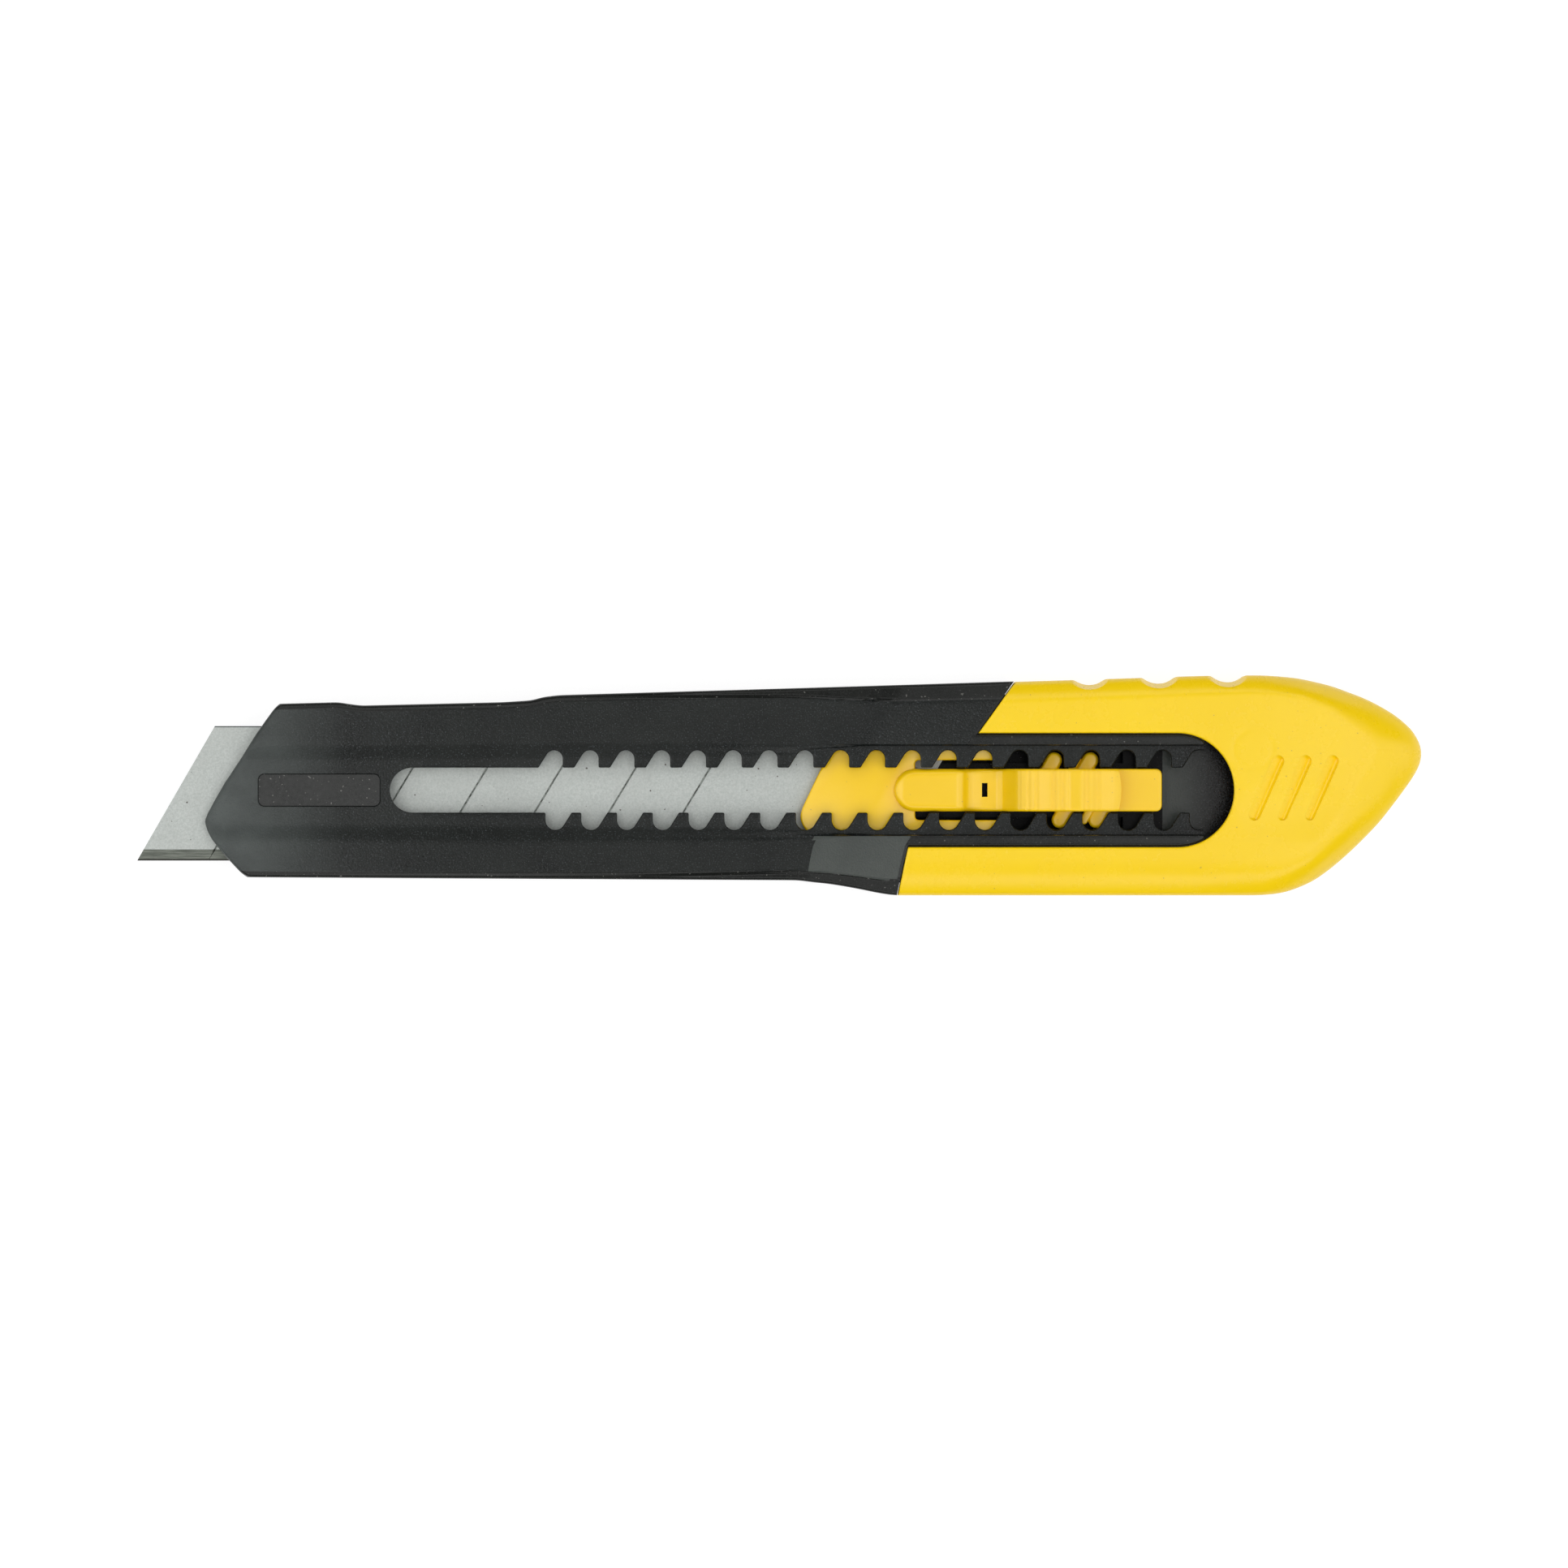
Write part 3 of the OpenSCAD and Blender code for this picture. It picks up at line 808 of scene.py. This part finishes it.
def carrier(material):
    """Plate that carries the blade, with open arms on both sides of the thumb slide."""
    arm_low, arm_high = SLOT_Y - 4, SLOT_Y + 4
    plan = [tuple(point) for point in smoothed(CARRIER_FRONT, 0.4, 0.3)[3:-3]]
    plan += [(29.1, -9.9), (29.4, -9.6), (29.4, arm_low - 0.3), (29.1, arm_low)]
    plan += arc(18.7, arm_low + 0.5, 0.5, 270, 180, 5) + arc(18.7, arm_high - 0.5, 0.5, 180, 90, 5)
    plan += [(29.1, arm_high), (29.4, arm_high + 0.3), (29.4, 7.4), (29.1, 7.7)]
    levels = [(PLATE_Z, -0.1), (PLATE_Z + 0.1, 0)] + edge_levels(PLATE_TOP, 0.28, False)
    plate = prism("carrier_plate", plan, levels)
    peg = prism("peg", arc(11.5, -1.08, 2.65, 0, 352.5, 47), [(5.55, 0), (6.5, 0)])
    combine(plate, [peg], "UNION")
    paint(plate, material)
    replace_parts(smooth(plate, 40), "blade_carrier")
    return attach(plate, "slider")


def tooth_outline(x, reach, width, side):
    """Slanted bar with a round end, on the upper (1) or lower (-1) side of the slide."""
    r, lean, start = width / 2, 30, 1.2
    dx, dy = r * math.cos(math.radians(lean)), r * math.sin(math.radians(lean))
    foot = (start - reach + r) * math.tan(math.radians(lean))
    points = [(foot - dx, start + dy), (foot + dx, start - dy)]
    points += arc(0, reach - r, r, -lean, 180 - lean, 14)
    return [(x + side * px, SLOT_Y + side * py) for px, py in points]


# teeth of the thumb lock: X of the tip, reach from the slide's middle, width, side
TEETH = [
    (36.75, 5.1, 2.2, 1), (41.6, 5.1, 2.2, 1), (39.9, 4.6, 0.9, 1),
    (37.5, 5.1, 2.2, -1), (42.4, 5.1, 2.2, -1), (40.7, 4.6, 1.1, -1),
]
TOOTH_TOP = WALL_Z - 0.1


def ratchet_teeth(material):
    """Slanted teeth with domed tops, just under the notched wall."""
    made = []
    for x, reach, width, side in TEETH:
        levels = [(6.9, 0)] + edge_levels(TOOTH_TOP, 0.22 * width, False, 6)
        made.append(prism("ratchet_teeth", tooth_outline(x, reach, width, side), levels))
    body = combine(made[0], made[1:], "UNION")
    paint(body, material)
    smooth(body, 40)
    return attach(body, "thumb_lock")


# ---- materials ----------------------------------------------------------------------------

class Nodes:
    """Builds one material's nodes."""

    def __init__(self, name, metallic=0.0):
        self.material = bpy.data.materials.new(name)
        self.material.use_nodes = True
        self.tree = self.material.node_tree
        self.shader = self.tree.nodes["Principled BSDF"]
        self.shader.inputs["Metallic"].default_value = metallic
        self.place = self.add("ShaderNodeTexCoord").outputs["Object"]

    def add(self, kind, **inputs):
        node = self.tree.nodes.new(kind)
        for key, value in inputs.items():
            self.set(node, key.replace("_", " "), value)
        return node

    def axis(self, name):
        """One coordinate of the place, in metres."""
        return self.add("ShaderNodeSeparateXYZ", Vector=self.place).outputs[name]

    def set(self, node, key, value):
        """Links a socket, or sets a constant on it. A key of digits is the socket's number."""
        socket = node.inputs[int(key)] if key.isdigit() else node.inputs[key]
        if isinstance(value, bpy.types.NodeSocket):
            self.tree.links.new(value, socket)
        else:
            socket.default_value = value

    def noise(self, size, detail=2.0, roughness=0.5, where=None):
        """Noise whose features are about size millimetres across."""
        node = self.add(
            "ShaderNodeTexNoise", Vector=where or self.place, Scale=1 / (size * MM),
            Detail=detail, Roughness=roughness,
        )
        return node.outputs["Fac"]

    def math(self, operation, a, b=0.0):
        node = self.add("ShaderNodeMath")
        node.operation = operation
        self.set(node, "0", a)
        self.set(node, "1", b)
        return node.outputs[0]

    def remap(self, value, low, high, to_low=0.0, to_high=1.0):
        """Value moved from the range low to high into the range to_low to to_high, and clamped."""
        node = self.add("ShaderNodeMapRange", Value=value)
        for key, number in zip(
            ("From Min", "From Max", "To Min", "To Max"), (low, high, to_low, to_high)
        ):
            node.inputs[key].default_value = number
        return node.outputs["Result"]

    def mix(self, share, first, second):
        """Colour between first, where share is 0, and second, where it is 1."""
        node = self.add("ShaderNodeMix")
        node.data_type = "RGBA"
        self.set(node, "0", share)
        for key, colour in (("6", first), ("7", second)):
            if not isinstance(colour, bpy.types.NodeSocket):
                colour = (*colour, 1)
            self.set(node, key, colour)
        return node.outputs[2]

    def bump(self, height, depth, after=None):
        """Bump whose full height is depth millimetres."""
        node = self.add("ShaderNodeBump", Height=height, Strength=1.0, Distance=depth * MM)
        if after:
            self.set(node, "Normal", after)
        return node.outputs["Normal"]

    def give(self, **inputs):
        """Sets the shader's inputs and returns the material."""
        for key, value in inputs.items():
            self.set(self.shader, key.replace("_", " "), value)
        return self.material


def black_grain(name, deep, colour):
    """Black moulding with a fine grain, painted glints, a painted sheen at the nose and painted
    shade at the rear.
    """
    n = Nodes(name)
    grain = n.noise(0.27, 2.0, 0.5)
    fine = n.noise(0.12, 1.0)
    # Painted glints: specks painted lighter where the noise is high, standing for the grain's
    # sparkle.
    grain_painted_glint = n.remap(n.noise(0.18, 1.0), 0.58, 0.8)
    x = n.axis("X")
    # Painted sheen: the colour is painted lighter towards the nose's tip, mottled by noise.
    nose_painted_sheen = n.remap(x, -77 * MM, -58 * MM, 0.95, 0)
    nose_painted_sheen = n.math("MULTIPLY", nose_painted_sheen, n.remap(n.noise(4, 3.0), 0.3, 0.65, 0.65, 1))
    cloud = n.remap(n.noise(9, 2.0), 0.3, 0.7)
    dark = n.mix(nose_painted_sheen, n.mix(cloud, deep, colour), (0.085, 0.098, 0.093))
    # Painted shade: the colour darkens to near black from X 52.5 to 58 mm, under the cap's rear
    # edge.
    shade = n.remap(x, 52.5 * MM, 58 * MM)
    dark = n.mix(shade, dark, (0.003, 0.0028, 0.0025))
    normal = n.bump(fine, 0.01, n.bump(grain, 0.038))
    return n.give(
        Base_Color=n.mix(grain_painted_glint, dark, (0.05, 0.057, 0.06)), Normal=normal,
        Roughness=n.remap(grain, 0.3, 0.7, 0.2, 0.27), Specular_IOR_Level=0.24,
    )


def black_smooth(name, deep, colour, shine):
    """The same moulding where the tool was polished, with fine scuffs and dust."""
    n = Nodes(name)
    scuff = n.noise(0.5, 5.0, 0.7)
    dust = n.remap(n.noise(0.3, 0.0), 0.78, 0.82)
    cloud = n.remap(n.noise(5, 3.0), 0.3, 0.7)
    dark = n.mix(cloud, deep, colour)
    return n.give(
        Base_Color=n.mix(dust, dark, (0.12, 0.12, 0.11)),
        Roughness=n.remap(scuff, 0.35, 0.65, 0.22, 0.3), Normal=n.bump(scuff, 0.004),
        Specular_IOR_Level=shine,
    )


def yellow_moulding(name, colour, deep, roughness, shine):
    """Yellow moulding with faint flow clouds, a slightly uneven surface and dust specks."""
    n = Nodes(name)
    cloud = n.remap(n.noise(14, 3.0, 0.6), 0.3, 0.72)
    speck = n.remap(n.noise(0.34, 0.0), 0.855, 0.87)
    peel = n.noise(0.5, 2.0, 0.5)
    scuff = n.noise(6, 5.0, 0.7)
    tone = n.mix(cloud, deep, colour)
    return n.give(
        Base_Color=n.mix(speck, tone, (0.6, 0.38, 0.03)), Normal=n.bump(peel, 0.006),
        Roughness=n.remap(scuff, 0.35, 0.65, roughness - 0.015, roughness + 0.02),
        Specular_IOR_Level=shine,
    )


def score_lines(n):
    """1 on the blade's score lines, which lean back and waver a little."""
    x, y = n.axis("X"), n.axis("Y")
    lean = n.math("MULTIPLY", n.math("SUBTRACT", y, BLADE_LOW_Y * MM), math.tan(SCORE_LEAN))
    along = n.math("SUBTRACT", n.math("SUBTRACT", x, BLADE_TIP_X * MM), lean)
    wander = n.remap(n.noise(1.2, 3.0, 0.7), 0.3, 0.7, -0.07 * MM, 0.07 * MM)
    along = n.math("ADD", n.math("ADD", along, wander), SCORE_SHIFT * MM)
    turns = n.math("DIVIDE", along, SEGMENT * MM)
    nearest = n.math("ABSOLUTE", n.math("SUBTRACT", turns, n.math("ROUND", turns)))
    half_width = n.remap(n.noise(0.5, 2.0), 0.35, 0.65, -0.002, 0.0065)
    line = n.math("LESS_THAN", nearest, half_width)
    first = n.math("GREATER_THAN", turns, 0.5)
    last = n.math("LESS_THAN", turns, 7.5)
    return n.math("MULTIPLY", n.math("MULTIPLY", line, first), last)


def ground_colour(n):
    """Dark streaks along the ground bevel."""
    grind = n.add("ShaderNodeMapping", Vector=n.place)
    grind.inputs["Scale"].default_value = (0.06, 1, 1)
    streak = n.noise(0.16, 2.0, 0.6, grind.outputs["Vector"])
    return n.mix(n.remap(streak, 0.3, 0.7), (0.1, 0.11, 0.095), (0.22, 0.235, 0.205))


def blade_steel():
    """Speckled steel with a darker bevel, dark edges and uneven dark score lines."""
    n = Nodes("blade_steel", 1.0)
    from_edge = n.math("SUBTRACT", n.axis("Y"), BLADE_LOW_Y * MM)
    bevel = n.math("LESS_THAN", from_edge, BEVEL * MM)
    honed = n.math("LESS_THAN", from_edge, HONED * MM)
    back = n.math("GREATER_THAN", from_edge, (BLADE_WIDTH - BACK_LINE) * MM)
    speckle = n.remap(n.noise(0.22, 2.0, 0.6), 0.3, 0.7)
    stain = n.remap(n.noise(3.5, 4.0, 0.6), 0.35, 0.75)
    pit = n.remap(n.noise(0.5, 0.0), 0.83, 0.86)
    base = n.mix(speckle, (0.4, 0.423, 0.405), (0.53, 0.558, 0.535))
    base = n.mix(n.math("MULTIPLY", stain, 0.25), base, (0.4, 0.41, 0.39))
    base = n.mix(bevel, base, ground_colour(n))
    base = n.mix(honed, base, (0.05, 0.05, 0.045))
    base = n.mix(back, base, (0.06, 0.065, 0.06))
    base = n.mix(pit, base, (0.12, 0.11, 0.1))
    base = n.mix(n.math("MULTIPLY", score_lines(n), 0.85), base, (0.07, 0.068, 0.06))
    return n.give(
        Base_Color=base, Roughness=n.remap(speckle, 0, 1, 0.5, 0.56),
        Normal=n.bump(n.noise(0.2, 3.0, 0.6), 0.006),
    )


# ---- stage --------------------------------------------------------------------------------

def area_light(name, place, size, power):
    """Soft box that looks at the knife. place and size are in metres."""
    light = bpy.data.lights.new(name, "AREA")
    light.shape = "RECTANGLE"
    light.size, light.size_y = size
    light.energy = power
    obj = bpy.data.objects.new(name, light)
    obj.location = place
    obj.rotation_euler = (-Vector(place)).to_track_quat("-Z", "Y").to_euler()
    bpy.context.scene.collection.objects.link(obj)


def white_floor():
    """Large pale floor just under the knife's back, bright enough to hide its shadows."""
    reach, z, grey = 3000, -0.05, 0.22
    corners = [(-reach, -reach, z), (reach, -reach, z), (reach, reach, z), (-reach, reach, z)]
    floor = make_object("floor", corners, [(0, 1, 2, 3)])
    paint(floor, Nodes("floor").give(
        Base_Color=(grey, grey, grey, 1), Roughness=0.9,
        Emission_Color=(1, 1, 1, 1), Emission_Strength=0.86,
    ))


def lighting():
    """Wide soft boxes on every side and two small ones that give the faces their sheen."""
    world = bpy.data.worlds.new("studio")
    bpy.context.scene.world = world
    world.use_nodes = True
    background = world.node_tree.nodes["Background"]
    background.inputs["Color"].default_value = (1, 1, 1, 1)
    background.inputs["Strength"].default_value = 0.03
    area_light("left_box", (-0.6, -0.02, 0.6), (0.8, 1.4), 5.0)
    area_light("right_box", (0.6, -0.02, 0.6), (0.8, 1.4), 5.0)
    area_light("left_top_box", (-0.27, -0.05, 1.0), (0.16, 0.4), 0.32)
    area_light("right_top_box", (0.25, -0.04, 1.0), (0.16, 0.4), 0.26)
    area_light("low_box", (0, -0.6, 0.7), (1.2, 0.3), 2.35)
    area_light("high_box", (0, 0.6, 0.7), (1.2, 0.3), 1.75)


def camera():
    """Looks straight down from far enough for an almost parallel view."""
    distance, frame_width, centre = 1.6, 0.20955, (0.00065, 0.00017)
    face_height = 0.008
    data = bpy.data.cameras.new("camera")
    data.sensor_width = 36
    data.lens = 36 * distance / frame_width
    data.clip_start, data.clip_end = 0.05, 20
    obj = bpy.data.objects.new("camera", data)
    obj.location = (*centre, distance + face_height)
    bpy.context.scene.collection.objects.link(obj)
    bpy.context.scene.camera = obj


def build():
    """Makes the looks and every visible piece."""
    slide = yellow_moulding("yellow_slide", (0.95, 0.61, 0.003), (0.93, 0.58, 0.002), 0.24, 0.6)
    cap = yellow_moulding("yellow_cap", (0.96, 0.655, 0.002), (0.94, 0.63, 0.002), 0.27, 0.45)
    grain = black_grain("black_grain", (0.0055, 0.0068, 0.006), (0.0105, 0.0125, 0.011))
    pale = black_grain("black_pale", (0.05, 0.057, 0.052), (0.066, 0.074, 0.067))
    plain = black_smooth("black_smooth", (0.006, 0.0068, 0.006), (0.0115, 0.0125, 0.011), 0.32)
    # Painted shade: the smooth black painted darker and duller for the faces inside.
    inside = black_smooth("black_inside_painted_shade", (0.002, 0.002, 0.0018), (0.005, 0.0045, 0.004), 0.1)
    housing(grain, plain, pale, inside)
    end_cap(cap)
    thumb_slide(slide)
    carrier(slide)
    ratchet_teeth(slide)
    paint(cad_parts["blade"], blade_steel())


build()
white_floor()
lighting()
camera()
bpy.context.scene.view_settings.view_transform = "Standard"
